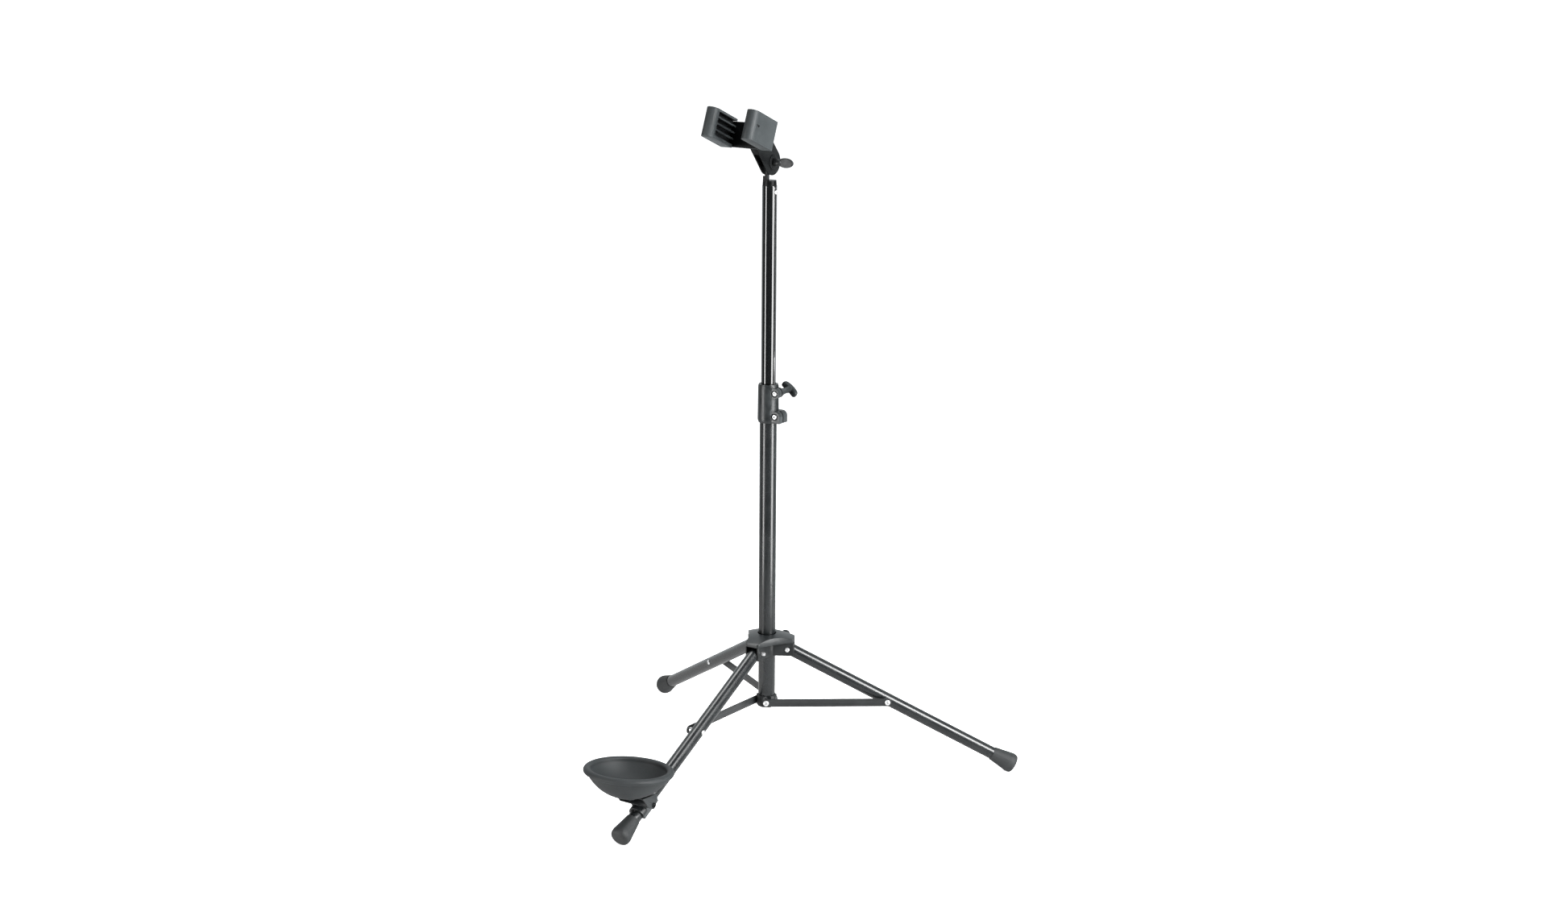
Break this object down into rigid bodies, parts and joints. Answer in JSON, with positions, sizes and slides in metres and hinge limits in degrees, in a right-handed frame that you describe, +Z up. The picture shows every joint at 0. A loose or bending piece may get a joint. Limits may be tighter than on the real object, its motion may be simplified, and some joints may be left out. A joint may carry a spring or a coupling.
{
  "type": "folding tripod instrument stand",
  "caption": "Folding tripod stand with a telescopic column, a padded fork that tilts and a bowl clamped to the front leg.",
  "frame": {"origin": "on the floor straight under the column's axis", "axes": "+Z up the column; the front leg with the bowl points to -Y and the fork opens the same way; +X is to the right of someone who faces +Y"},
  "size_m": [0.6566, 0.6047, 0.9877],
  "materials": {
    "black_enamel": "satin black enamel",
    "gloss_enamel": "gloss black enamel",
    "black_bracket": "satin black",
    "bright_steel": "bright plated",
    "grey_plastic": "moulded satin",
    "pale_plastic": "moulded satin, lighter grey",
    "dark_plastic": "moulded satin, near black",
    "bowl_plastic": "fine matte",
    "pad_rubber": "matte moulded rubber",
    "foot_rubber": "matte rubber"
  },
  "bodies": {
    "column": {"lower_tube": "black_enamel", "column_plug": "dark_plastic", "brace_ring": "dark_plastic", "ring_rivets": "bright_steel", "collar": "grey_plastic", "collar_screws": "bright_steel", "collar_nut": "bright_steel"},
    "collar_knob": {"collar_knob": "grey_plastic"},
    "hub": {"hub_body": "grey_plastic", "hub_cap": "pale_plastic", "hub_rivets": "bright_steel", "hub_nut": "bright_steel"},
    "hub_screw": {"hub_screw": "dark_plastic"},
    "front_leg": {"leg_front": "black_enamel", "leg_plug_front": "dark_plastic", "leg_rivet_front": "bright_steel", "foot_front": "foot_rubber"},
    "front_brace": {"brace_front": "black_enamel", "brace_rivet_front": "bright_steel"},
    "right_leg": {"leg_right": "black_enamel", "leg_plug_right": "dark_plastic", "leg_rivet_right": "bright_steel", "foot_right": "foot_rubber"},
    "right_brace": {"brace_right": "black_enamel", "brace_rivet_right": "bright_steel"},
    "back_leg": {"leg_back": "black_enamel", "leg_plug_back": "dark_plastic", "leg_rivet_back": "bright_steel", "foot_back": "foot_rubber"},
    "back_brace": {"brace_back": "black_enamel", "brace_rivet_back": "bright_steel"},
    "guide": {"guide_bush": "dark_plastic"},
    "mast": {"upper_tube": "gloss_enamel", "swivel_fitting": "black_bracket", "swivel_rivet": "bright_steel"},
    "head": {"head_bracket": "black_bracket", "fork_plate": "black_bracket", "left_pad": "pad_rubber", "right_pad": "pad_rubber", "head_bolt": "bright_steel", "head_washers": "black_bracket", "friction_washers": "dark_plastic"},
    "head_knob": {"head_knob": "pale_plastic"},
    "clamp": {"bowl_clamp": "grey_plastic", "clamp_insert": "bright_steel"},
    "clamp_knob": {"clamp_knob": "grey_plastic"},
    "bowl": {"bowl_bracket": "black_bracket", "bowl_hinge_bolt": "bright_steel", "bowl_screws": "bright_steel", "bowl": "bowl_plastic"}
  },
  "joints": [
    {"name": "hub_slide", "type": "slide", "parent": "column", "child": "hub", "axis": [0, 0, 1], "range_m": [0, 0.26303]},
    {"name": "front_leg_hinge", "type": "hinge", "parent": "hub", "child": "front_leg", "pos_m": [0, -0.0306, 0.1855], "axis": [1, 0, 0], "range_deg": [0, 62.72]},
    {"name": "front_brace_hinge", "type": "hinge", "parent": "column", "child": "front_brace", "pos_m": [0, 0, 0.1028], "axis": [-1, 0, 0], "range_deg": [0, 78.47]},
    {"name": "right_leg_hinge", "type": "hinge", "parent": "hub", "child": "right_leg", "pos_m": [0.0265, 0.0153, 0.1855], "axis": [-0.5, 0.866, 0], "range_deg": [0, 62.72]},
    {"name": "right_brace_hinge", "type": "hinge", "parent": "column", "child": "right_brace", "pos_m": [0, 0, 0.1028], "axis": [0.5, -0.866, 0], "range_deg": [0, 78.47]},
    {"name": "back_leg_hinge", "type": "hinge", "parent": "hub", "child": "back_leg", "pos_m": [-0.0265, 0.0153, 0.1855], "axis": [-0.5, -0.866, 0], "range_deg": [0, 62.72]},
    {"name": "back_brace_hinge", "type": "hinge", "parent": "column", "child": "back_brace", "pos_m": [0, 0, 0.1028], "axis": [0.5, 0.866, 0], "range_deg": [0, 78.47]},
    {"name": "hub_screw_turn", "type": "hinge", "parent": "hub", "child": "hub_screw", "pos_m": [0, 0.03, 0.1843], "axis": [0, 1, 0], "range_deg": [0, 360]},
    {"name": "collar_knob_turn", "type": "hinge", "parent": "column", "child": "collar_knob", "pos_m": [0.0164, 0.02, 0.5725], "axis": [0, 1, 0], "range_deg": [0, 360]},
    {"name": "mast_slide", "type": "slide", "parent": "column", "child": "guide", "axis": [0, 0, 1], "range_m": [-0.27, 0.06]},
    {"name": "mast_turn", "type": "hinge", "parent": "guide", "child": "mast", "pos_m": [0, 0, 0.904], "axis": [0, 0, 1], "continuous": true},
    {"name": "head_tilt", "type": "hinge", "parent": "mast", "child": "head", "pos_m": [0, 0, 0.904], "axis": [1, 0, 0], "range_deg": [-40, 35]},
    {"name": "head_knob_turn", "type": "hinge", "parent": "head", "child": "head_knob", "pos_m": [0.02, 0, 0.904], "axis": [1, 0, 0], "range_deg": [0, 360]},
    {"name": "clamp_slide", "type": "slide", "parent": "front_leg", "child": "clamp", "axis": [0, -0.8886, -0.4587], "range_m": [-0.08, 0.007]},
    {"name": "clamp_knob_turn", "type": "hinge", "parent": "clamp", "child": "clamp_knob", "pos_m": [-0.025, -0.30518, 0.04378], "axis": [-1, 0, 0], "range_deg": [0, 360]},
    {"name": "bowl_tilt", "type": "hinge", "parent": "clamp", "child": "bowl", "pos_m": [0, -0.3227, 0.04937], "axis": [1, 0, 0], "range_deg": [-12, 20]}
  ],
  "couplings": [
    {"joint": "front_leg_hinge", "follows": "hub_slide", "rad_per_m": 4.1604},
    {"joint": "front_brace_hinge", "follows": "hub_slide", "rad_per_m": 5.2057},
    {"joint": "right_leg_hinge", "follows": "hub_slide", "rad_per_m": 4.1604},
    {"joint": "right_brace_hinge", "follows": "hub_slide", "rad_per_m": 5.2057},
    {"joint": "back_leg_hinge", "follows": "hub_slide", "rad_per_m": 4.1604},
    {"joint": "back_brace_hinge", "follows": "hub_slide", "rad_per_m": 5.2057}
  ]
}
